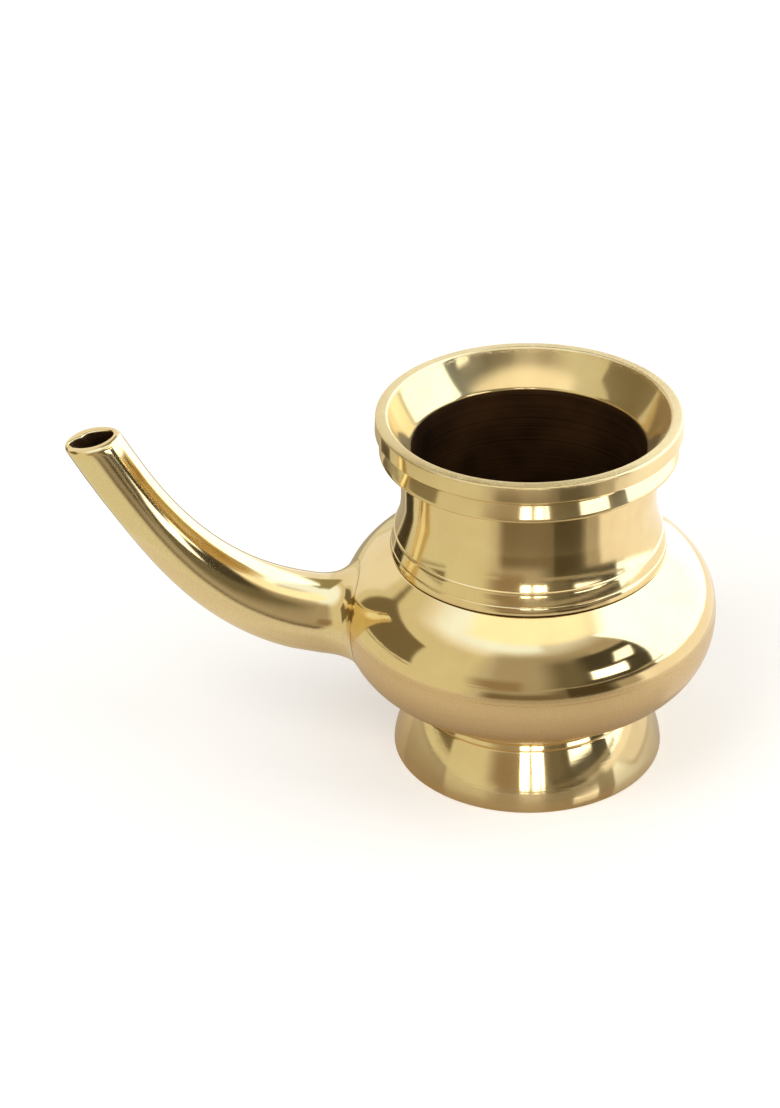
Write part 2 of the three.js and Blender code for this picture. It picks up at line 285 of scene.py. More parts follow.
def sharp(points: Sequence[Point]) -> list[Corner]:
    """Marks the points of a curve as ones that need no rounding."""
    return [(radius, height, 0.0) for radius, height in points]


def mesh_object(
    name: str, points: Sequence[Vector], faces: Sequence[Face], inner: Sequence[bool] | None = None,
) -> Shown:
    """Makes a smooth-shaded object on the pot's axis, with hard edges where it turns sharply.

    Args:
        name: The object's name.
        points: Its points, in millimetres from the pot's axis.
        faces: The numbers of each face's points.
        inner: For each face, whether it takes the second material.

    Returns:
        The object, linked to the scene.
    """
    mesh = bpy.data.meshes.new(name)
    mesh.from_pydata([point * MM for point in points], [], faces)
    if inner:
        mesh.polygons.foreach_set("material_index", [int(flag) for flag in inner])
    work = bmesh.new()
    work.from_mesh(mesh)
    bmesh.ops.remove_doubles(work, verts=work.verts, dist=1e-7)
    bmesh.ops.recalc_face_normals(work, faces=work.faces)
    if work.calc_volume(signed=True) < 0:
        bmesh.ops.reverse_faces(work, faces=work.faces)
    work.to_mesh(mesh)
    work.free()
    mesh.shade_smooth()
    mesh.set_sharp_from_angle(angle=CREASE)
    shown = link(name, mesh)
    shown.location.x = AXIS_X
    return shown


def link(name: str, data: bpy.types.ID) -> Shown:
    """Returns a new object with its data, linked to the scene."""
    shown = bpy.data.objects.new(name, data)
    bpy.context.scene.collection.objects.link(shown)
    return shown


def skin(name: str, rows: Sequence[Sequence[Vector]], inner: Callable[[int, int], bool | None]) -> Shown:
    """Joins rings of points into one closed skin, the last ring to the first.

    Args:
        name: The object's name.
        rows: The rings, each with as many points.
        inner: Tells from the number of a ring and of a point in it whether the face after them
            is inside. It is None where there is no face.

    Returns:
        The object.
    """
    count = len(rows[0])
    faces, inside = [], []
    for row in range(len(rows)):
        here, there = row * count, (row + 1) % len(rows) * count
        for i in range(count):
            flag = inner(row, i)
            if flag is not None:
                j = (i + 1) % count
                faces.append((here + i, there + i, there + j, here + j))
                inside.append(flag)
    return mesh_object(name, [point for row in rows for point in row], faces, inside)


def turn(
    name: str, outline: Sequence[Point], sides: int, inner: Callable[[Point, Point], bool] | None = None,
) -> Shown:
    """Turns an outline round the pot's axis.

    Args:
        name: The object's name.
        outline: Radius and height of each point of a closed outline.
        sides: How many steps the turning has.
        inner: Tells of two neighbouring points whether the face between them is inside.

    Returns:
        The turned object.
    """
    def is_inner(_: int, i: int) -> bool | None:
        """Returns whether a face is inside, or None for one that lies on the axis."""
        a, b = outline[i], outline[(i + 1) % len(outline)]
        if a[0] == 0 and b[0] == 0:
            return None
        return bool(inner and inner(a, b))

    rows = []
    for step in range(sides):
        angle = step / sides * 2 * math.pi
        rows.append([
            Vector((radius * math.cos(angle), radius * math.sin(angle), height)) for radius, height in outline
        ])
    return skin(name, rows, is_inner)


def drill(piece: Shown, tool: Shown) -> None:
    """Cuts a tool's shape out of a piece and removes the tool."""
    cut = piece.modifiers.new("bore", "BOOLEAN")
    cut.operation = "DIFFERENCE"
    cut.solver = "EXACT"
    cut.object = tool
    bpy.context.view_layer.update()
    graph = bpy.context.evaluated_depsgraph_get()
    bored = bpy.data.meshes.new_from_object(piece.evaluated_get(graph))
    piece.modifiers.remove(cut)
    old = piece.data
    piece.data = bored
    bpy.data.meshes.remove(old)
    bored.set_sharp_from_angle(angle=CREASE)
    bpy.data.objects.remove(tool)


def settle(piece: Shown, slot: str, materials: Sequence[Material], *nodes: str) -> None:
    """Dresses a piece, lets it ride on the pot and makes it stand for its CAD nodes.

    Args:
        piece: The piece.
        slot: The name of a material slot, which is only logged.
        materials: The finish of its outside, and of its inside where it has one.
        *nodes: The CAD nodes that it stands for.
    """
    for material in materials:
        piece.data.materials.append(material)
    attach(piece, "root")
    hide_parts(*nodes)
    LOG.info("%s: %d faces, %s", piece.name, len(piece.data.polygons), slot)


FOOT_LOW, FOOT_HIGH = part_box("foot_ring")
AXIS_X = (FOOT_LOW.x + FOOT_HIGH.x) / 2


# Finishes


class Marks(Enum):
    """How far apart the lathe's marks lie on a turned face, in millimetres."""

    BUFFED = 0.9
    FINE = 0.5
    PLAIN = 0.35


@dataclass(frozen=True)
class TurnedBrass:
    """Yellow brass, cut on a lathe and buffed on a wheel.

    To the eye that is a pale warm gold that mirrors its surroundings. The lathe's rings comb
    each reflection up and down and leave its sides crisp. The wheel leaves soft clouds and a
    slightly uneven skin, and what it doesn't reach stays satin and browner. On the belly's lower
    half that browner tone is partly painted shade, for the shaded table that the part mirrors.
    """

    name: str
    marks: Marks = Marks.FINE
    mark_slope: float = 0.012
    ring_lean: float = 0.83
    wander: float = 1.2
    wander_size: float = 18.0
    gloss: float = 0.07
    cloud_gloss: float = 0.04
    ring_gloss: float = 0.03
    comb: float = 0.0
    comb_gloss: float = 0.38
    fresh: str = "f1dba6"
    aged: str = "ead19c"
    tone_range: Point = (0.36, 0.70)
    cloud_size: float = 14.0
    cloud_range: Point = (0.3, 0.75)
    dent_size: float = 24.0
    dent_depth: float = 0.05
    pit_size: float = 0.5
    pit_depth: float = 0.0
    pit_range: Point = (0.32, 0.44)
    pits_from: float = 0.0
    pits_fade: float = 0.8
    satin_below: float | None = None
    satin_border: Point = (-0.7, 0.5)
    satin_mask: str = ""
    # The satin part's tone, which on the belly's lower half is partly painted shade.
    satin: str = "e2c797"
    satin_gloss: float = 0.30
    satin_gloss_range: float = 0.05
    frost_size: float = 0.6
    frost_range: Point = (0.3, 0.7)
    frost_light: Point = (0.90, 1.06)

    def make(self) -> Material:
        """Builds the material, which reads its places from the object's own coordinates."""
        material = bpy.data.materials.new(self.name)
        nodes = Nodes(material)
        place = nodes.place()
        clouds = nodes.noise(place, self.cloud_size, 4.0, 0.55)
        rings, height = self.surface(nodes, place)
        colour = nodes.ramp(clouds, *zip(self.tone_range, (self.fresh, self.aged)))
        gloss = nodes.span(clouds, self.cloud_range, (self.gloss, self.gloss + self.cloud_gloss))
        gloss = nodes.math("MULTIPLY_ADD", rings, self.ring_gloss, gloss)
        if self.satin_below is not None or self.satin_mask:
            colour, gloss = self.satin_part(nodes, place, colour, gloss)
        bump = nodes.bump(height)
        shader = nodes.add("BsdfPrincipled", {
            "Metallic": 1.0, "Base Color": colour, "Roughness": gloss, "Normal": bump,
        })
        if self.comb:
            # The groove walls: a share of the face that spreads light straight up and down.
            walls = nodes.add("BsdfPrincipled", {
                "Metallic": 1.0, "Roughness": self.comb_gloss, "Anisotropic": 1.0,
                "Anisotropic Rotation": 0.25, "Base Color": colour, "Normal": bump,
                "Tangent": nodes.add("Tangent", {"direction_type": "RADIAL", "axis": "Z"}),
            })
            shader = nodes.mix(self.comb, shader, walls)
        nodes.close(shader)
        return material

    def surface(self, nodes: Nodes, place: Socket) -> tuple[Socket, Socket]:
        """Builds the height of the lathe's rings, the dents and the pits.

        Args:
            nodes: The material's nodes.
            place: Where a point of the surface lies.

        Returns:
            How strong the rings are, from 0 to 1, and the height in metres.
        """
        pitch = self.marks.value
        up = nodes.part(place, "Z")
        flat = nodes.add("VectorMath", {"operation": "MULTIPLY", 0: place, 1: (1, 1, 0)})
        along = nodes.math("MULTIPLY_ADD", nodes.length(flat), self.ring_lean, up)
        drift = nodes.noise(place, self.wander_size, 1.0)
        rings = nodes.ring_noise(
            nodes.math("MULTIPLY_ADD", drift, self.wander * pitch * MM, along), pitch, 3.0, 0.62,
        )
        dents = nodes.noise(place, self.dent_size, 1.0)
        height = nodes.math("MULTIPLY", rings, self.mark_slope * pitch * MM)
        height = nodes.math("MULTIPLY_ADD", dents, self.dent_depth * MM, height)
        if self.pit_depth:
            pits = nodes.noise(place, self.pit_size, 2.0)
            sunk = nodes.span(pits, self.pit_range, (-self.pit_depth * MM, 0.0))
            land = nodes.span(up, (self.pits_from * MM, (self.pits_from + self.pits_fade) * MM))
            height = nodes.math("MULTIPLY_ADD", sunk, land, height)
        return rings, height

    def satin_part(
        self, nodes: Nodes, place: Socket, colour: Socket, gloss: Socket,
    ) -> tuple[Socket, Socket]:
        """Turns a part of the surface into unbuffed satin, pinker and with a fine frost. Its tone,
        darker on the belly's lower half, is partly painted shade there.

        The part lies under a height, or where an attribute of the mesh marks it.

        Args:
            nodes: The material's nodes.
            place: Where a point of the surface lies.
            colour: The colour of the buffed part.
            gloss: The roughness of the buffed part.

        Returns:
            The colour and the roughness of the whole.
        """
        if self.satin_mask:
            low = nodes.add("Attribute", {"attribute_name": self.satin_mask}, "Fac")
        else:
            border = tuple((self.satin_below + edge) * MM for edge in self.satin_border)
            low = nodes.span(nodes.part(place, "Z"), border, (1.0, 0.0))
        # The blasting grit's own grain is finer than a pixel, so the frost is drawn coarser.
        frost = nodes.noise(place, self.frost_size, 3.0, 0.7)
        speckled = nodes.span(frost, self.frost_range, self.frost_light)
        # Partly painted shade: the satin tone is darker than the buffed brass on the belly's lower half.
        satin_and_shade_tint = nodes.add("VectorMath", {
            "operation": "SCALE", 0: linear(self.satin)[:3], "Scale": speckled,
        })
        ends = (self.satin_gloss - self.satin_gloss_range, self.satin_gloss + self.satin_gloss_range)
        dull = nodes.span(frost, self.frost_range, ends)
        return (
            nodes.add("Mix", {"data_type": "RGBA", 0: low, 6: colour, 7: satin_and_shade_tint}, 2),
            nodes.add("Mix", {"data_type": "FLOAT", 0: low, 2: gloss, 3: dull}),
        )


@dataclass(frozen=True)
class DarkBore:
    """The turned inside of the pot, which is never buffed and has gone brown.

    To the eye it is a nearly black brown with a dull sheen, and the tool's rings show where
    light from the mouth grazes them.
    """

    name: str = "unpolished_turned_brass_bore"
    deep: str = "22160d"
    lit: str = "68472a"
    ring: float = 0.8
    ring_height: float = 0.03
    gloss: Point = (0.42, 0.62)
    blotch_size: float = 26.0
    metal: float = 0.7

    def make(self) -> Material:
        """Builds the material."""
        material = bpy.data.materials.new(self.name)
        nodes = Nodes(material)
        place = nodes.place()
        rings = nodes.ring_noise(nodes.part(place, "Z"), self.ring, 4.0)
        blotches = nodes.noise(place, self.blotch_size, 2.0)
        stain = nodes.math("MULTIPLY_ADD", rings, 0.5, blotches)
        nodes.close(nodes.add("BsdfPrincipled", {
            "Metallic": self.metal,
            "Base Color": nodes.ramp(stain, (0.5, self.deep), (1.0, self.lit)),
            "Roughness": nodes.span(rings, target=self.gloss),
            "Normal": nodes.bump(nodes.math("MULTIPLY", rings, self.ring_height * MM)),
        }))
        return material


class Finishes:
    """The pot's finishes, each named for the brass that it shows."""

    def __init__(self) -> None:
        """Makes the materials."""
        # The belly's lower half is satin, and browner partly as painted shade.
        self.belly = TurnedBrass(
            "turned_buffed_brass", marks=Marks.BUFFED, gloss=0.05, cloud_gloss=0.03, dent_size=30.0,
            dent_depth=0.15, satin_below=57.6,
        ).make()
        self.foot = TurnedBrass("turned_brass_foot", gloss=0.045, comb=0.08).make()
        self.collar = TurnedBrass("turned_brass_collar", gloss=0.06, ring_gloss=0.05, comb=0.06).make()
        self.mouth = TurnedBrass(
            "turned_brass_mouth", marks=Marks.PLAIN, gloss=0.05, comb=0.32, pit_depth=0.045, pits_from=128.0,
        ).make()
        self.cast = TurnedBrass(
            "cast_filed_buffed_brass", marks=Marks.BUFFED, mark_slope=0.0, dent_size=16, dent_depth=0.12,
            satin_mask="underside", satin="f0dcab", satin_gloss=0.13,
        ).make()
        self.bore = DarkBore().make()
        self.filler = TurnedBrass("brazing_brass", gloss=0.2, fresh="e2c88c", aged="d2b274").make()
        self.stained = TurnedBrass("stained_brazing_brass", gloss=0.34, fresh="5f4a2b", aged="3a2b18").make()


# The turned body


@dataclass
class Foot:
    """The ring foot: one leaning face with a rounded edge, a cut line and a bead under the bowl."""

    stand_round: float = 0.4
    strip_height: float = 1.2
    height: float = 28.7
    top_radius: float = 39.5
    wall: float = 2.2
    stand_radius: float = 46.9
    stand_width: float = 2.8
    edge_radius: float = 46.3
    edge_height: float = 4.0
    lean: float = 0.28
    bulge: float = 0.005
    face_height: float = 20.4
    cut_height: float = 0.7
    cut_depth: float = 0.35
    bead_height: float = 24.2
    bead_radius: float = 0.9
    bead_centre: float = 39.7
    inner_radius: float = 43.0
    inner_bend: float = 12.0
    inner_top: float = 21.9
    braze: float = 1.4
    braze_hollow: float = 0.4
    sides: int = 192

    def face(self, low: float, high: float, steps: int) -> list[Corner]:
        """Returns points of the leaning face from a height up to another."""
        rises = [lerp(low, high, i / steps) - self.edge_height for i in range(steps + 1)]
        return [
            (self.edge_radius - self.lean * rise - self.bulge * rise ** 2, self.edge_height + rise, 0)
            for rise in rises
        ]

    def ring_outline(self) -> list[Point]:
        """Returns the closed outline of the ring, from its standing edge up and back down inside."""
        bead = [
            (self.bead_centre + self.bead_radius * math.cos(math.radians(angle)),
             self.bead_height + self.bead_radius * math.sin(math.radians(angle)))
            for angle in range(-70, 81, 15)
        ]
        above = self.face_height + self.cut_height
        cut = self.face(self.face_height + self.cut_height / 2, above, 1)[0]
        bore = self.top_radius - self.wall
        return eased([
            (self.stand_radius - 0.05, 0, 0.3),
            *sharp(curve(
                (self.stand_radius, self.stand_round),
                (self.edge_radius + self.lean * self.edge_height * 0.35, self.edge_height * 0.65),
                (self.edge_radius, self.edge_height), 10,
            )),
            *self.face(self.edge_height + 0.5, self.face_height, 32),
            (cut[0] - self.cut_depth, cut[1], 0.2),
            *self.face(above, above + self.strip_height, 3),
            *sharp(bead),
            (self.top_radius, self.bead_height + 1.4 * self.bead_radius, 0.4),
            (self.top_radius, self.height, 0),
            (bore, self.height, 0),
            (bore, self.inner_top, 0),
            (self.inner_radius, self.inner_bend, 4.0),
            (self.stand_radius - self.stand_width, 0, self.stand_round),
        ])

    def make(self, finishes: Finishes) -> None:
        """Builds and dresses the ring and the fillet that brazes it to the bowl."""
        outline = self.ring_outline()
        hollow = set(outline[outline.index((self.top_radius, self.height)) + 1:])
        ring = turn("foot_ring_piece", outline, self.sides, lambda a, b: a in hollow and b in hollow)
        settle(ring, "turned_brass", (finishes.foot, finishes.bore), "foot_ring")
        shape = fillet_outline((self.top_radius - self.wall, self.height), -self.braze, -self.braze_hollow)
        fillet = turn("foot_braze_piece", shape, self.sides)
        settle(fillet, "braze", (finishes.filler,), "foot_braze")


@dataclass
class Belly:
    """The round belly: a bowl and a shoulder, brazed rim to rim at the widest line."""

    radius: float = 64.45
    curve_width: float = 30.45
    rise: float = 24.2
    drop: float = 26.5
    upper_power: float = 2.05
    lower_power: float = 2.3
    wall: float = 2.0
    seam: float = 0.35
    seam_dip: float = 0.03
    foot_height: float = 28.7
    neck_bore: float = 40.2
    collar_radius: float = 47.1
    cone_from: float = 53.5
    cone_slope: float = 0.65
    recess: float = 0.2
    collar_gap: float = 0.6
    bowl_steps: tuple[int, int] = (56, 32)
    shoulder_steps: tuple[int, int] = (60, 36)
    sides: int = 256

    @property
    def centre(self) -> float:
        """Radius of the line that both of the belly's curves are drawn round."""
        return self.radius - self.curve_width

    @property
    def low_line(self) -> float:
        """Height of the bowl's rim."""
        return self.foot_height + self.drop

    @property
    def high_line(self) -> float:
        """Height of the shoulder's lower rim."""
        return self.low_line + self.seam

    def shoulder_height(self, radius: float) -> float:
        """Returns the height of the shoulder's outside, which runs straight up to the collar."""
        cone = self.dome_height(self.cone_from) + self.cone_slope * (self.cone_from - radius)
        if radius > self.collar_radius:
            return cone if radius < self.cone_from else self.dome_height(radius)
        edge = self.dome_height(self.cone_from) + self.cone_slope * (self.cone_from - self.collar_radius)
        return self.dome_height(radius) + edge - self.dome_height(self.collar_radius)

    def dome_height(self, radius: float, inset: float = 0.0) -> float:
        """Returns the height of the shoulder's round curve, or of a skin inset from it."""
        across = max(0.0, (radius - self.centre) / (self.curve_width - inset))
        rest = max(0.0, 1 - across ** self.upper_power)
        return self.high_line + (self.rise - inset) * rest ** (1 / self.upper_power)

    def collar_seat(self, outer: float, lift: float) -> list[Point]:
        """Returns points of the shoulder that the collar stands on, outermost first."""
        radii = [lerp(outer, self.neck_bore, i / 6) for i in range(7)]
        return [(radius, self.shoulder_height(radius) + lift) for radius in radii]

    def frame_at(self, point: Vector) -> tuple[float, float, float, float, float, float]:
        """Gives where a point lies against the belly's curves.

        Args:
            point: The point, in millimetres from the pot's axis.

        Returns:
            Its radius, how far it is across and above the curves' centre, the height of that
            centre, and the height and power of the curve on its side.
        """
        radius = math.hypot(point.x, point.y)
        across = max(0.0, radius - self.centre)
        if point.z > self.high_line:
            return radius, across, point.z - self.high_line, self.high_line, self.rise, self.upper_power
        return radius, across, min(0.0, point.z - self.low_line), self.low_line, self.drop, self.lower_power

    def level(self, point: Vector, clearance: float = 0.0) -> float:
        """Returns less than 1 for a point inside the belly grown by a clearance, and more outside."""
        _, across, above, _, height, power = self.frame_at(point)
        return (
            (across / (self.curve_width + clearance)) ** power
            + (abs(above) / (height + clearance)) ** power
        )

    def onto(self, point: Vector, clearance: float = 0.0) -> Vector:
        """Returns the point moved straight from the curves' centre onto the grown belly."""
        radius, across, above, equator, _, power = self.frame_at(point)
        stretch = self.level(point, clearance) ** (-1 / power)
        spread = (self.centre + across * stretch) / radius
        return Vector((point.x * spread, point.y * spread, equator + above * stretch))

    def normal(self, point: Vector) -> Vector:
        """Returns the belly's outward direction at a point of it."""
        radius, across, above, _, height, power = self.frame_at(point)
        outward = (across / self.curve_width) ** (power - 1) / self.curve_width
        upward = math.copysign((abs(above) / height) ** (power - 1) / height, above)
        return Vector((outward * point.x / radius, outward * point.y / radius, upward)).normalized()

    def make(self, finishes: Finishes, passage: Callable[[], Shown]) -> None:
        """Builds and dresses the bowl, the shoulder and the two seams.

        Args:
            finishes: The pot's finishes.
            passage: Makes the solid that is bored out for the spout.
        """
        body = (finishes.belly, finishes.bore)
        bowl = self.bowl()
        drill(bowl, passage())
        settle(bowl, "turned_brass", body, "bowl_shell")
        seam = turn("belly_seam_piece", [
            (self.radius - self.wall, self.low_line),
            (self.radius, self.low_line),
            (self.radius - self.seam_dip, (self.low_line + self.high_line) / 2),
            (self.radius, self.high_line),
            (self.radius - self.wall, self.high_line),
        ], self.sides)
        drill(seam, passage())
        settle(seam, "braze", (finishes.filler,), "belly_braze")
        shoulder = self.shoulder()
        drill(shoulder, passage())
        settle(shoulder, "turned_brass", body, "shoulder_shell")
        edge = self.collar_radius - self.recess
        ring = turn("collar_seam_piece", [
            *reversed(self.collar_seat(edge, 0)), *self.collar_seat(edge, self.collar_gap),
        ], self.sides)
        settle(ring, "braze", (finishes.stained,), "collar_braze")

    def bowl(self) -> Shown:
        """Returns the bowl, with a closed bottom."""
        centre, inner_width = (self.centre, self.low_line), self.curve_width - self.wall
        outer_steps, inner_steps = self.bowl_steps
        outside = quarter(centre, (self.curve_width, -self.drop), self.lower_power, outer_steps)
        inside = quarter(centre, (inner_width, self.wall - self.drop), self.lower_power, inner_steps)
        floor = (0.0, self.foot_height + self.wall)
        inner = {*inside, floor}
        outline = [(0.0, self.foot_height), *reversed(outside), *inside, floor]
        return turn("bowl_piece", outline, self.sides, lambda a, b: a in inner and b in inner)

    def shoulder(self) -> Shown:
        """Returns the shoulder, with the seat of the collar on it."""
        centre, inner_width = (self.centre, self.high_line), self.curve_width - self.wall
        outer_steps, inner_steps = self.shoulder_steps
        top = quarter(centre, (self.curve_width, self.rise), self.upper_power, outer_steps)
        under = quarter(centre, (inner_width, self.rise - self.wall), self.upper_power, inner_steps)
        inside = [p for p in under if p[0] > self.neck_bore + self.recess][::-1]
        lip = (self.neck_bore, self.dome_height(self.neck_bore, self.wall))
        inner = {*inside, lip, (self.neck_bore, self.shoulder_height(self.neck_bore))}
        outline = [
            *[(r, self.shoulder_height(r)) for r, _ in top if r > self.collar_radius + self.recess],
            (self.collar_radius, self.shoulder_height(self.collar_radius)),
            *self.collar_seat(self.collar_radius - self.recess, 0),
            lip,
            *inside,
        ]
        return turn("shoulder_piece", outline, self.sides, lambda a, b: a in inner and b in inner)


@dataclass
class Collar:
    """The waisted collar, with a cut line and a raised line round its foot."""

    belly: Belly
    height: float = 37.7
    neck_radius: float = 43.0
    edge: float = 1.4
    line_height: float = 2.9
    line_depth: float = 0.25
    thread_height: float = 7.6
    thread_proud: float = 0.45
    thread_flat: float = 0.18
    thread_flare: float = 2.3
    curve_height: float = 13.0
    sides: int = 256

    @property
    def foot(self) -> float:
        """Height of the collar's lower edge."""
        return self.belly.shoulder_height(self.belly.collar_radius) + self.belly.collar_gap

    @property
    def top(self) -> float:
        """Height of the collar's upper edge."""
        return self.belly.dome_height(self.belly.collar_radius) + self.belly.seam + self.height

    def outline(self) -> list[Point]:
        """Returns the closed outline of the collar."""
        belly = self.belly
        thread = self.foot + self.thread_height
        line = self.foot + self.line_height
        radius = self.neck_radius + self.thread_flare
        start = self.foot + self.edge

        def slope(height: float) -> float:
            """Returns the collar's radius at a height between its edge and the raised line."""
            return lerp(belly.collar_radius, radius, (height - start) / (thread - start))

        proud, depth = self.thread_proud, self.line_depth
        return eased([
            (belly.collar_radius, self.foot, 0.22),
            (belly.collar_radius, start, 0.5),
            (slope(line - depth), line - depth, 0.12),
            (slope(line) - depth, line, 0.1),
            (slope(line + depth), line + depth, 0.12),
            (slope(thread - 2 * proud), thread - 2 * proud, 0.3),
            (slope(thread) - 0.05, thread - proud, 0.1),
            (radius + proud, thread - self.thread_flat, 0.16),
            (radius + proud, thread + self.thread_flat, 0.16),
            (radius, thread + proud, 0.1),
            *sharp(curve(
                (radius - 0.06, thread + proud + 0.2), (self.neck_radius, thread + self.curve_height / 2),
                (self.neck_radius, thread + self.curve_height), 28,
            )),
            (self.neck_radius, self.top, 0),
            (belly.neck_bore, self.top, 0),
            *sharp(reversed(belly.collar_seat(belly.collar_radius - belly.recess, belly.collar_gap))),
        ], 4)

    def make(self, finishes: Finishes) -> None:
        """Builds and dresses the collar."""
        bore = self.belly.neck_bore

        def is_bore(*ends: Point) -> bool:
            """Returns whether the face between two points is the bore."""
            return all(abs(radius - bore) < 0.01 for radius, _ in ends)

        collar = turn("collar_piece", self.outline(), self.sides, is_bore)
        settle(collar, "turned_brass", (finishes.collar, finishes.bore), "neck_collar")


@dataclass
class Mouth:
    """The flared mouth: a throat, a funnel, a rounded lip, a groove and a band under it."""

    collar: Collar
    height: float = 14.2
    lip_overhang: float = 8.4
    crest_inset: float = 0.6
    lip_width: float = 4.6
    outer_drop: float = 0.6
    inner_drop: float = 1.0
    lip_edge: float = 5.1
    funnel_from: float = 24.0
    lip_land: float = 2.9
    lip_lean: float = 0.35
    lean_height: float = 5.0
    land_fall: float = 0.25
    funnel_dish: float = 0.4
    throat_ledge: float = 0.8
    throat_height: float = 2.1
    groove_height: float = 6.6
    groove_reach: float = 5.0
    band_step: float = 0.4
    band_reach: float = 7.1
    band_face: float = 1.7
    band_round: float = 1.0
    band_lift: float = 0.2
    fillet: float = 0.9
    fillet_hollow: float = 0.25
    sides: int = 256

    @property
    def throat(self) -> float:
        """Radius of the throat."""
        return self.collar.belly.neck_bore - self.throat_ledge

    def outline(self) -> list[Point]:
        """Returns the closed outline of the mouth."""
        neck, base, throat = self.collar.neck_radius, self.collar.top, self.throat
        lip = neck + self.lip_overhang
        crest_radius, crest = lip - self.crest_inset, base + self.height
        band, groove = neck + self.band_reach, neck + self.groove_reach
        band_edge = quarter(
            (band - self.band_round, base + self.band_lift + self.band_round),
            (self.band_round, -self.band_round), 2, 10,
        )[::-1]
        edge = crest - self.land_fall - self.outer_drop
        outer = quarter((crest_radius, edge), (self.crest_inset, self.outer_drop), 2, 14)
        leaning = [
            (radius - self.lip_lean * max(0.0, 1 - (crest - height) / self.lean_height), height)
            for radius, height in outer
        ]
        inner_width = self.lip_width - self.crest_inset - self.lip_land
        inner = [
            (crest_radius - self.lip_land - inner_width * math.cos(angle),
             crest - self.inner_drop * (1 - math.sin(angle)))
            for angle in (math.radians(lerp(90, self.funnel_from, i / 12)) for i in range(13))
        ]
        return eased([
            (throat, base, 0),
            (neck, base, 0),
            (neck + self.fillet, base, 0),
            *sharp(band_edge),
            (band, base + self.band_face, 0.45),
            (groove + self.band_step, base + self.groove_height - self.band_step, 0.4),
            (groove, base + self.groove_height, 0.35),
            (lip, crest - self.outer_drop - self.lip_edge, 0.3),
            *sharp(leaning),
            *sharp(inner[:-1]),
            (*inner[-1], 1.0),
            *sharp(self.dished(inner[-1], (throat, base + self.throat_height))),
            (throat, base + self.throat_height, 0.7),
        ])

    def dished(self, start: Point, end: Point, steps: int = 10) -> list[Point]:
        """Gives the funnel's slightly hollow run, without its ends.

        Args:
            start: Where it leaves the lip.
            end: Where it meets the throat.
            steps: How many stretches it has.

        Returns:
            The points between the two ends.
        """
        across, down = start[0] - end[0], start[1] - end[1]
        length = math.hypot(across, down)
        points = []
        for i in range(1, steps):
            share = i / steps
            dip = self.funnel_dish * 4 * share * (1 - share) / length
            points.append((start[0] - across * share + down * dip, start[1] - down * share - across * dip))
        return points

    def make(self, finishes: Finishes) -> None:
        """Builds and dresses the mouth and the fillet that brazes it to the collar."""
        base = self.collar.top
        top = base + self.throat_height + 0.1

        def is_throat(*ends: Point) -> bool:
            """Returns whether the face between two points is the throat's straight wall."""
            return all(radius < self.throat + 0.05 and height < top for radius, height in ends)

        mouth = turn("mouth_piece", self.outline(), self.sides, is_throat)
        settle(mouth, "turned_brass", (finishes.mouth, finishes.bore), "mouth_flare")
        shape = fillet_outline((self.collar.neck_radius, base), self.fillet, self.fillet_hollow)
        fillet = turn("mouth_braze_piece", shape, self.sides)
        settle(fillet, "braze", (finishes.filler,), "mouth_braze")


# The spout


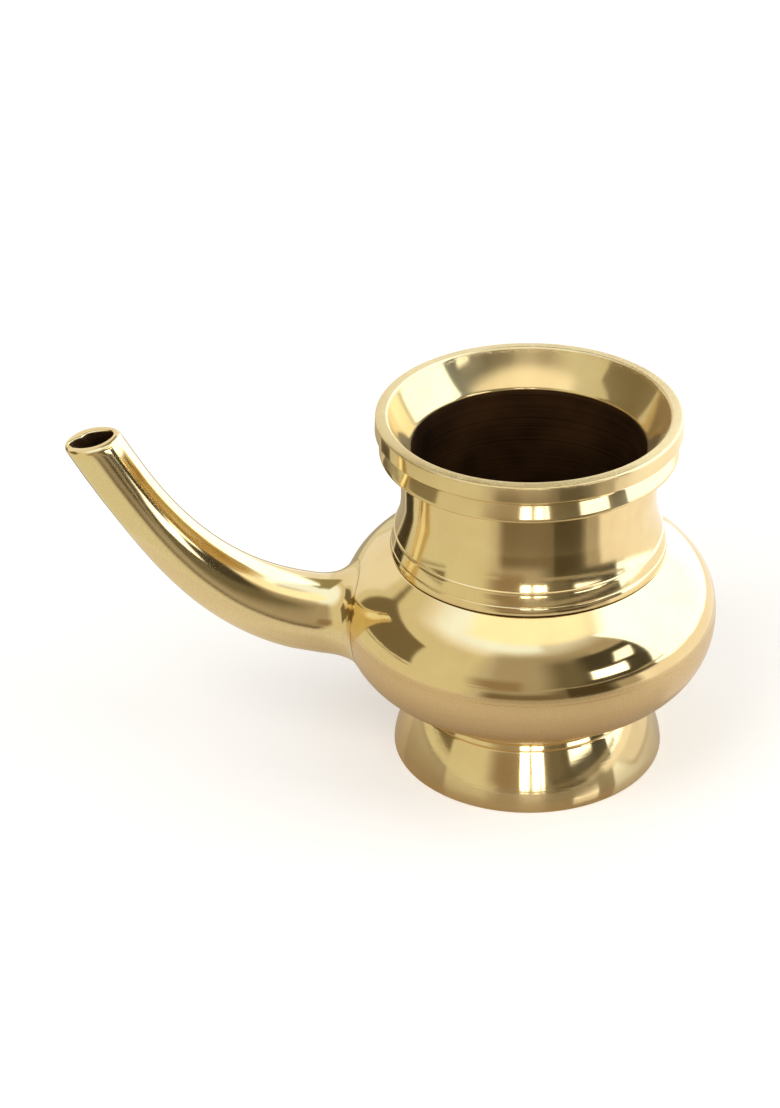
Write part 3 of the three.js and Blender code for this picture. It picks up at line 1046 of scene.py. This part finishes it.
@dataclass
class Spout:
    """The curved cast spout, with a foot spread over the belly and a pinched, filed mouth."""

    belly: Belly
    root_drop: float = 3.1
    run: float = 81.2
    rise: float = 71.0
    root_angle: float = 5.0
    root_handle: float = 40.0
    tip_angle: float = 62.0
    tip_handle: float = 45.7
    root_radius: float = 13.9
    tip_radius: float = 9.2
    taper_length: float = 90.0
    wall: float = 2.2
    flare: float = 7.0
    flare_length: float = 11.0
    tube_from: float = 14.6
    belly_gap: float = 0.05
    flare_gap: float = 0.06
    passage_play: float = 0.2
    mouth_tilt: float = 11.0
    pinch: float = 1.6
    pinch_depth: float = 12.0
    lip_round: float = 1.55
    lip_rings: int = 7
    lip_filed: float = 0.12
    neck_depth: float = 3.5
    hole_round: float = 0.6
    hole_rings: int = 5
    polished_rings: int = 3
    filing: tuple[Corner, ...] = (
        (0.09, 181, 13), (-0.27, 136, 24), (-0.05, 92, 20),
        (0.09, 42, 24), (-0.06, 325, 30), (-0.05, 215, 20),
    )
    dips: tuple[Corner, ...] = ((0.35, 60, 35), (0.45, 205, 16))
    underside_root: float = 80.0
    underside_tip: float = 60.0
    underside_fade: float = 3.0
    path_steps: int = 400
    sides: int = 96

    def __post_init__(self) -> None:
        """Measures the spout's path."""
        self.root = Vector((-self.belly.radius, 0, self.belly.low_line - self.root_drop))
        self.mouth = self.root + Vector((-self.run, 0, self.rise))
        self.handles = (
            self.root,
            self.root + self.heading(self.root_angle) * self.root_handle,
            self.mouth - self.heading(self.tip_angle) * self.tip_handle,
            self.mouth,
        )
        self.lengths: list[float] = []
        self.length, last = 0.0, self.root
        for i in range(self.path_steps + 1):
            here = self.at(i / self.path_steps)
            self.length += (here - last).length
            self.lengths.append(self.length)
            last = here

    @staticmethod
    def heading(angle: float) -> Vector:
        """Returns the direction of an angle above the table, away from the pot."""
        return Vector((-math.cos(math.radians(angle)), 0, math.sin(math.radians(angle))))

    def at(self, t: float) -> Vector:
        """Returns the path's point at a share of its curve parameter."""
        a, b, c, d = self.handles
        s = 1 - t
        return a * s ** 3 + b * (3 * s * s * t) + c * (3 * s * t * t) + d * t ** 3

    def heading_at(self, t: float) -> Vector:
        """Returns the path's direction at a share of its curve parameter."""
        a, b, c, d = self.handles
        s = 1 - t
        return ((b - a) * s * s + (c - b) * 2 * s * t + (d - c) * t * t).normalized()

    def share(self, distance: float) -> float:
        """Returns the curve parameter at a distance along the path."""
        after = max(1, bisect_left(self.lengths, distance))
        start, end = self.lengths[after - 1], self.lengths[after]
        return (after - 1 + (distance - start) / (end - start)) / self.path_steps

    def point(self, distance: float, turn_by: float, along: float, across: float | None = None) -> Vector:
        """Gives a point of the spout's section.

        Args:
            distance: How far along the path, which runs straight on past its ends.
            turn_by: The angle round the section, from its upper side, in radians.
            along: The section's half height.
            across: Its half width, where that differs.

        Returns:
            The point, in millimetres from the pot's axis.
        """
        on_path = min(self.length, max(0.0, distance))
        t = self.share(on_path)
        way = self.heading_at(t)
        side = Vector((0, 1, 0))
        upper = side.cross(way)
        wide = along if across is None else across
        return (
            self.at(t) + way * (distance - on_path)
            + upper * (along * math.cos(turn_by)) + side * (wide * math.sin(turn_by))
        )

    @staticmethod
    def halve(low: float, high: float, holds: Callable[[float], bool]) -> float:
        """Returns where a condition that holds at low stops holding on the way to high."""
        for _ in range(34):
            middle = (low + high) / 2
            if holds(middle):
                low = middle
            else:
                high = middle
        return low

    def ring(self, point_at: Callable[[float], Vector]) -> list[Vector]:
        """Returns a ring of points, one for each side of the spout."""
        return [point_at(i / self.sides * 2 * math.pi) for i in range(self.sides)]

    def leaving(self, turn_by: float, radius: float, clearance: float) -> float:
        """Returns how far along the path a line of the tube leaves the grown belly."""
        reach = self.belly.curve_width
        return self.halve(
            -reach, reach, lambda s: self.belly.level(self.point(s, turn_by, radius), clearance) < 1,
        )

    def spread(self, turn_by: float, reach: float, clearance: float) -> Vector:
        """Returns a point of the spread foot, a reach along the belly from the tube's line."""
        start = self.point(self.leaving(turn_by, self.root_radius, clearance), turn_by, self.root_radius)
        away = start - self.point(0, turn_by, 0)
        for straight in (self.heading(self.root_angle), self.belly.normal(start)):
            away -= straight * away.dot(straight)
        return self.belly.onto(start + away.normalized() * reach, clearance)

    def fillet(self, blend: float, clearance: float) -> list[Vector]:
        """Returns a ring of the fillet between the belly, at blend 0, and the tube, at blend 1."""

        def point_at(turn_by: float) -> Vector:
            """Returns the fillet's point at an angle round the tube."""
            start = self.leaving(turn_by, self.root_radius, clearance)
            low = self.spread(turn_by, self.flare, clearance)
            bend = self.point(start, turn_by, self.root_radius)
            high = self.point(start + self.flare_length, turn_by, self.radius_at(self.flare_length))
            return low * (1 - blend) ** 2 + bend * (2 * blend * (1 - blend)) + high * blend ** 2

        return self.ring(point_at)

    def radius_at(self, distance: float) -> float:
        """Returns the tube's outer radius at a distance along its path."""
        return lerp(self.root_radius, self.tip_radius, smoothstep(distance, 0, self.taper_length))

    @staticmethod
    def swells(turn_by: float, marks: Sequence[Corner]) -> float:
        """Returns at an angle the sum of smooth swellings, each a size, its angle and its width."""
        total = 0.0
        for size, centre, width in marks:
            away = (math.degrees(turn_by) - centre + 180) % 360 - 180
            total += size * math.exp(-(away / width) ** 2)
        return total

    def mouth_ring(self, along: float, across: float, depth: float, filed: float = 0.0) -> list[Vector]:
        """Gives a ring at a depth under the plane of the spout's mouth.

        Args:
            along: Its half length.
            across: Its half width.
            depth: How far under the plane it lies.
            filed: How much of the hand-filed hole's shape it takes, from 0 to 1.

        Returns:
            The ring's points.
        """
        facing = self.heading(90 - self.mouth_tilt)
        reach = 2 * self.root_radius

        def point_at(turn_by: float) -> Vector:
            """Returns the ring's point at an angle round the tube."""
            size = 1 + filed * self.swells(turn_by, self.filing)
            end = self.halve(
                self.length - reach, self.length + reach,
                lambda s: (self.point(s, turn_by, along * size, across * size) - self.mouth).dot(facing) < 0,
            )
            sunk = depth + self.swells(turn_by, self.dips)
            return self.point(end - sunk, turn_by, along * size, across * size)

        return self.ring(point_at)

    def mark_underside(self, spout: Shown, outer_rows: int) -> None:
        """Marks how much of each point lies on the filed underside, which no wheel has buffed.

        Args:
            spout: The spout, with its points in rings.
            outer_rows: How many of its rings lie outside.
        """
        mark = spout.data.attributes.new("underside", "FLOAT", "POINT")
        for number in range(len(mark.data)):
            row, column = divmod(number, self.sides)
            turned = abs((column / self.sides * 360 + 180) % 360 - 180)
            border = lerp(self.underside_root, self.underside_tip, smoothstep(row, 0, outer_rows))
            low = smoothstep(turned, border - self.underside_fade, border + self.underside_fade)
            mark.data[number].value = low if 1 < row < outer_rows - self.lip_rings else 0.0

    def passage(self) -> Shown:
        """Returns the round solid that is bored out of the belly for the spout."""
        radius = self.root_radius - self.wall - self.passage_play
        near = self.ring(lambda a: self.point(-self.belly.curve_width / 2, a, radius))
        far = self.ring(lambda a: self.point(self.belly.wall, a, radius))
        count = self.sides
        faces = [(i, (i + 1) % count, count + (i + 1) % count, count + i) for i in range(count)]
        faces += [tuple(range(count)), tuple(range(2 * count - 1, count - 1, -1))]
        return mesh_object("bore_tool", near + far, faces)

    def make(self, finishes: Finishes) -> None:
        """Builds and dresses the spout and its brazed joint."""
        stations = [lerp(self.tube_from, self.length - self.tip_radius, i / 40) for i in range(41)]
        rows = [
            self.ring(lambda a, r=radius: self.point(self.leaving(a, r, self.belly_gap), a, r))
            for radius in (self.root_radius - self.wall, self.root_radius)
        ]
        rows += [self.fillet(i / 12, self.flare_gap) for i in range(13)]
        rows += [self.ring(lambda a, s=s: self.point(s, a, self.radius_at(s))) for s in stations]
        tip, hole = self.tip_radius, self.tip_radius - self.wall
        rows.append(self.mouth_ring(tip, tip, self.neck_depth))
        for i in range(self.lip_rings):
            angle = i / (self.lip_rings - 1) * math.pi / 2
            edge = tip - self.lip_round * (1 - math.cos(angle))
            depth = self.lip_round * (1 - math.sin(angle))
            rows.append(self.mouth_ring(edge, edge, depth, self.lip_filed * math.sin(angle / 2)))
        outer_rows = len(rows)
        for i in range(self.hole_rings):
            angle = i / (self.hole_rings - 1) * math.pi / 2
            edge = hole + self.hole_round * (1 - math.sin(angle))
            depth = self.hole_round * (1 - math.cos(angle))
            rows.append(self.mouth_ring(edge, edge - self.pinch, depth, 1.0))
        for depth, filed in ((2.0, 0.9), (self.neck_depth, 0.6)):
            rows.append(self.mouth_ring(hole, hole - self.pinch, depth, filed))
        for s in reversed(stations[:-1]):
            bored = self.radius_at(s) - self.wall
            pinched = self.pinch * smoothstep(s, self.length - self.pinch_depth, self.length)
            rows.append(self.ring(lambda a, s=s, r=bored, p=pinched: self.point(s, a, r, r - p)))
        spout = skin("spout_piece", rows, lambda row, _: row >= outer_rows + self.polished_rings)
        self.mark_underside(spout, outer_rows)
        settle(spout, "cast_brass", (finishes.cast, finishes.bore), "spout", "spout_braze")


# Studio and camera


@dataclass(frozen=True)
class Card:
    """A board of the studio that the brass mirrors, and that the camera doesn't see.

    Its edges are directions from the pot, in degrees: to the right of the camera, and above
    the table. Below the horizon it lies on the table. The four fades are how softly its left,
    right, lower and upper edges end, in degrees. A board with a high_right has a sloping top,
    one with a lean stands askew, a ragged one has a torn side, and a near one stands closer
    than the others, at a distance in metres.
    """

    name: str
    left: float
    right: float
    low: float
    high: float
    tone: str
    level: float = 1.0
    fades: tuple[float, float, float, float] = (4.0, 4.0, 4.0, 4.0)
    high_right: float | None = None
    lean: float = 0.0
    ragged: float = 0.0
    teeth: float = 45.0
    near: float | None = None

    def make(self, centre: Vector, reach: float, lift: float, steps: int = 28) -> None:
        """Builds the board and dresses it.

        Args:
            centre: The place that its directions start from, in metres.
            reach: How far off it stands.
            lift: How high over the table it lies, where it lies there.
            steps: How many faces it has each way.
        """
        high_right = self.high if self.high_right is None else self.high_right
        points, faces, places = [], [], []
        for number in range((steps + 1) ** 2):
            u, v = number % (steps + 1) / steps, number // (steps + 1) / steps
            rise = math.radians(lerp(self.low, lerp(self.high, high_right, u), v))
            round_by = math.radians(lerp(self.left, self.right, u) + self.lean * (v - 0.5))
            way = Vector((
                math.sin(round_by) * math.cos(rise), -math.cos(round_by) * math.cos(rise), math.sin(rise),
            ))
            away = self.near or reach
            far = away if rise >= 0 else min(away, (centre.z - lift) / math.sin(-rise))
            points.append(centre + way * far)
            places.append((u, v))
            if u < 1 and v < 1:
                faces.append((number, number + 1, number + steps + 2, number + steps + 1))
        mesh = bpy.data.meshes.new(self.name)
        mesh.from_pydata(points, [], faces)
        layer = mesh.uv_layers.new(name="card")
        for loop in mesh.loops:
            layer.data[loop.index].uv = places[loop.vertex_index]
        mesh.materials.append(self.paint())
        mirrored_only(self.name, mesh)

    def paint(self) -> Material:
        """Makes the board's material, a plain glow that fades out towards its edges."""
        material = bpy.data.materials.new(f"studio_board_{self.name}")
        nodes = Nodes(material)
        place = nodes.add("UVMap")
        wide, tall = self.right - self.left, self.high - self.low
        along = nodes.part(place, "Y")
        torn = nodes.add("TexNoise", {
            "noise_dimensions": "1D", "Scale": self.teeth, "Detail": 2.0, "W": along,
        })
        across = nodes.math("MULTIPLY_ADD", torn, 2 * self.ragged / wide, nodes.part(place, "X"))
        across = nodes.math("SUBTRACT", across, self.ragged / wide)
        cover = 1.0
        for fade, extent, axis, end in zip(
            self.fades, (wide, wide, tall, tall), (across, across, along, along), (0, 1, 0, 1),
        ):
            inset = abs(end - max(0.001, fade / extent))
            cover = nodes.math("MULTIPLY", cover, nodes.span(axis, (end, inset), smooth=True))
        glow = nodes.add("Emission", {"Color": linear(self.tone), "Strength": self.level})
        nodes.close(nodes.mix(cover, nodes.add("BsdfTransparent"), glow))
        material.cycles.emission_sampling = "NONE"
        return material


def mirrored_only(name: str, mesh: bpy.types.Mesh) -> Shown:
    """Returns a new part of the studio that only mirroring metal sees, made from a mesh."""
    board = link(name, mesh)
    board.visible_camera = board.visible_diffuse = board.visible_shadow = False
    return board


@dataclass(frozen=True)
class Lamp:
    """A soft lamp that faces the pot, and whose shape the brass doesn't mirror."""

    name: str
    place: tuple[float, float, float]
    power: float
    size: tuple[float, float] = (1.2, 1.2)
    aim_height: float = 0.06

    def make(self) -> Shown:
        """Returns the lamp, hung in its place, which is in metres."""
        light = bpy.data.lights.new(self.name, "AREA")
        light.shape = "RECTANGLE"
        light.size, light.size_y = self.size
        light.energy = self.power
        shown = link(self.name, light)
        shown.location = self.place
        shown.visible_camera = shown.visible_glossy = False
        shown.rotation_mode = "QUATERNION"
        aim = Vector((0, 0, self.aim_height)) - Vector(self.place)
        shown.rotation_quaternion = aim.to_track_quat("-Z", "Y")
        return shown


@dataclass
class Studio:
    """A plain pale floor, a white surround, soft lamps and the boards that the brass mirrors.

    Its sizes are in metres, and its strips and their ends are directions in degrees.
    """

    floor_size: float = 6.0
    floor_drop: float = 0.0002
    floor_colour: str = "e9e6e1"
    floor_glow: float = 0.30
    glow_reach: Point = (0.4, 1.4)
    world_light: float = 0.62
    sheet_radius: float = 0.19
    sheet_fade: float = 0.02
    # The sheet's tone near the pot, darker than its far tone, is a painted shadow of the pot.
    sheet_shadow: str = "a8957f"
    sheet_far: str = "e6dccb"
    sheet_shade: Point = (0.047, 0.125)
    sheet_sheen: float = 1.5
    sheet_gloss: float = 0.06
    boards_centre: tuple[float, float, float] = (0.045, 0.0, 0.07)
    boards_reach: float = 2.3
    board_gap: float = 0.04
    board_lift: float = 0.0003
    board_step: float = 0.0001
    boards: tuple[Card, ...] = (
        Card("ceiling", -180, 180, 52, 89.9, "dcebff", 1.55, (0, 0, 12, 0)),
        Card("ceiling_right", 6, 100, 54, 80, "f7fbff", 0.92, (12, 12, 8, 8)),
        Card("left_wall", -178, -20, -20, 60, "fff9dc", 0.76, (8, 12, 1, 12), 54),
        Card("pale_corner", -175, -130, -6, 46, "fffaf0", 0.93, (5, 3, 5, 6)),
        Card("front_wall", -40, 82, -20, 62, "fff0d8", 0.45, (20, 4, 1, 16), 73),
        Card("doorway", 0, 46, -20, 54, "fff0cc", 0.18, (18, 4, 1, 18)),
        Card("dark_left", -127, -71, -7, 42, "ffe7b7", 0.20, (3, 3, 5, 3), 33),
        Card("back_wall", 148, 212, 33, 78, "e9dcb0", 0.42, (8, 8, 5, 8)),
        Card("window_side", 71, 170, -9, 67, "e1f0ff", 2.4, (1.5, 10, 3, 7)),
        Card("bright_floor", 54, 176, -24, -8, "fdf6ee", 1.1, (6, 5, 1, 1)),
        Card("bright_near", 66, 150, -46, -22, "fdf6ee", 0.9, (6, 8, 4, 3)),
        Card("dark_right", 24, 72, -11, 46, "fff0d0", 0.07, (14, 1.6, 5, 4)),
        Card("low_window", 33, 57, 3, 20, "ffffff", 3.0, (3, 2, 3, 2)),
        Card("high_window", 49, 63, 19, 35, "ffffff", 2.0, (2, 2, 3, 3), lean=5, near=0.45),
        Card("grey_floor", -176, -137, -26, -8, "fff2d8", 0.45, (3, 2, 2, 2)),
        Card("dark_floor_left", -30, 15.5, -23, -7, "ffe4bd", 0.20, (9, 1, 6, 7), ragged=0.6),
        Card("dark_floor_right", 17, 42, -23, 2, "ffe4b0", 0.08, (1, 4, 6, 5), ragged=1.6),
        Card("dark_strip", -136, -117, -27, -4, "ffd9a0", 0.05, (2, 2, 3, 3)),
        Card("dark_front", -42, -2, -10, 17, "ffe0b8", 0.32, (18, 8, 8, 10)),
        Card("over_mouth", -70, 84, 53, 84, "f4efe0", 1.5, (18, 18, 9, 8), near=0.2),
    )
    lamps: tuple[Lamp, ...] = (
        Lamp("key", (-0.9, -0.9, 1.6), 14.0),
        Lamp("fill", (1.3, -0.3, 1.2), 9.0),
    )
    strips: tuple[Point, ...] = ((-8.4, -1.4), (1.8, 7.4), (8.8, 11.0))
    strip_ends: tuple[tuple[Point, tuple[str, ...]], ...] = (
        ((-2.5, 62.0), ("foot_ring_piece",)),
        ((4.0, 15.0), ("collar_piece", "mouth_piece", "mouth_braze_piece")),
    )
    strip_level: float = 5.0
    strip_reach: float = 1.4

    def make(self) -> None:
        """Builds the floor, the surround, the boards and the lamps."""
        self.floor()
        self.surround()
        self.glossy_sheet()
        for number, board in enumerate(self.boards):
            reach = self.boards_reach - number * self.board_gap
            board.make(Vector(self.boards_centre), reach, self.board_lift + number * self.board_step)
        for lamp in self.lamps:
            lamp.make()
        for ends, pieces in self.strip_ends:
            ringed = bpy.data.collections.new(f"ringed_{pieces[0]}")
            for piece in pieces:
                ringed.objects.link(bpy.data.objects[piece])
            for number, sides in enumerate(self.strips):
                self.strip(f"strip_{pieces[0]}_{number}", sides, ends, ringed)

    def floor(self) -> None:
        """Lays the pale floor, which glows more and more towards the white surround."""
        half = self.floor_size / 2
        mesh = bpy.data.meshes.new("floor")
        mesh.from_pydata(
            [(-half, -half, 0), (half, -half, 0), (half, half, 0), (-half, half, 0)], [], [(0, 1, 2, 3)],
        )
        floor = link("floor", mesh)
        floor.location.z = -self.floor_drop
        material = bpy.data.materials.new("pale_studio_floor")
        nodes = Nodes(material)
        share = nodes.span(nodes.length(nodes.place()), self.glow_reach, (self.floor_glow, 1.0))
        strength = nodes.math("MULTIPLY", nodes.seen_rays(), share)
        nodes.close(nodes.add("AddShader", {
            0: nodes.add("BsdfDiffuse", {"Color": linear(self.floor_colour)}),
            1: nodes.add("Emission", {"Color": (1, 1, 1, 1), "Strength": strength}),
        }))
        mesh.materials.append(material)

    def strip(self, name: str, sides: Point, ends: Point, receivers: bpy.types.Collection) -> None:
        """Adds a tall lamp in front, which leans over the pot and which only ringed pieces mirror.

        Args:
            name: The lamp's name.
            sides: The directions of its sides, in degrees to the right of the camera.
            ends: The directions of its lower and upper end, in degrees above the table.
            receivers: The pieces that it lights.
        """
        low, high = (
            Vector((0, -math.cos(math.radians(end)), math.sin(math.radians(end)))) * self.strip_reach
            for end in ends
        )
        way, middle = high - low, (low + high) / 2
        turned = Matrix.Rotation(math.radians(sum(sides) / 2), 3, "Z")
        width = 2 * abs(low.y) * math.tan(math.radians((sides[1] - sides[0]) / 2))
        tall = Lamp(
            name, tuple(turned @ middle + Vector((AXIS_X, 0, self.boards_centre[2]))),
            self.strip_level * math.pi * width * way.length, (width, way.length),
        ).make()
        across = turned @ Vector((1, 0, 0))
        up = (turned @ way).normalized()
        tall.rotation_quaternion = Matrix((across, up, across.cross(up))).transposed().to_quaternion()
        tall.visible_glossy = True
        tall.light_linking.receiver_collection = receivers

    def surround(self) -> None:
        """Makes the world white where it is seen and even where it lights."""
        world = bpy.data.worlds.new("white_surround")
        bpy.context.scene.world = world
        nodes = Nodes(world)
        strength = nodes.span(nodes.seen_rays(), target=(self.world_light, 1.0))
        nodes.close(nodes.add("Background", {"Color": (1, 1, 1, 1), "Strength": strength}))

    def glossy_sheet(self) -> None:
        """Lays a glowing glossy sheet under the pot, which only the brass mirrors, with a painted
        shadow of the pot: its glow darkens near it.

        Its gloss grows towards a grazing look, so the foot sees the room once more in it.
        """
        mesh = bpy.data.meshes.new("glossy_sheet")
        work = bmesh.new()
        bmesh.ops.create_circle(
            work, cap_ends=True, segments=64, radius=self.sheet_radius + self.sheet_fade,
        )
        work.to_mesh(mesh)
        work.free()
        material = bpy.data.materials.new("studio_glossy_sheet")
        nodes = Nodes(material)
        away = nodes.length(nodes.place())
        # A painted shadow of the pot: the sheet's glow darkens towards it.
        share = nodes.span(away, self.sheet_shade)
        tone = nodes.ramp(share, (0.0, self.sheet_shadow), (1.0, self.sheet_far))
        sheet = nodes.mix(
            nodes.add("Fresnel", {"IOR": self.sheet_sheen}),
            nodes.add("Emission", {"Color": tone}),
            nodes.add("BsdfAnisotropic", {"Roughness": self.sheet_gloss}),
        )
        edge = nodes.span(away, (self.sheet_radius, self.sheet_radius + self.sheet_fade))
        nodes.close(nodes.mix(edge, sheet, nodes.add("BsdfTransparent")))
        material.cycles.emission_sampling = "NONE"
        mesh.materials.append(material)
        mirrored_only("glossy_sheet", mesh).location = (AXIS_X, 0, 0.0001)


@dataclass
class Camera:
    """The photograph's viewpoint: one metre away, about 31 degrees above the table."""

    target: tuple[float, float, float] = (-2.083, 0.0, 75.92)
    distance: float = 1000.0
    elevation: float = 30.962
    roll: float = -1.235
    focal_pixels: float = 2933.5
    picture_height: float = 1108.0
    sensor: float = 36.0

    def make(self) -> None:
        """Builds the camera and makes it the scene's."""
        data = bpy.data.cameras.new("camera")
        data.sensor_fit = "AUTO"
        data.sensor_width = self.sensor
        data.lens = self.focal_pixels / self.picture_height * self.sensor
        data.clip_start, data.clip_end = 0.05, 20
        rise, roll = math.radians(self.elevation), math.radians(self.roll)
        back = Vector((0, -math.cos(rise), math.sin(rise)))
        right = Vector((1, 0, 0))
        up = back.cross(right)
        turned = Matrix((
            right * math.cos(roll) + up * math.sin(roll),
            up * math.cos(roll) - right * math.sin(roll),
            back,
        )).transposed()
        camera = link("camera", data)
        place = (Vector(self.target) + back * self.distance) * MM
        camera.matrix_world = Matrix.LocRotScale(place, turned, None)
        bpy.context.scene.camera = camera


def main() -> None:
    """Builds the pot, the studio and the camera, and logs each piece's faces and slot."""
    logging.basicConfig(level=logging.INFO, format="%(name)s: %(message)s")
    bpy.context.scene.view_settings.view_transform = "Standard"
    finishes = Finishes()
    belly = Belly()
    spout = Spout(belly)
    collar = Collar(belly)
    Foot().make(finishes)
    belly.make(finishes, spout.passage)
    collar.make(finishes)
    Mouth(collar).make(finishes)
    spout.make(finishes)
    Studio().make()
    Camera().make()


if __name__ == "__main__":
    main()
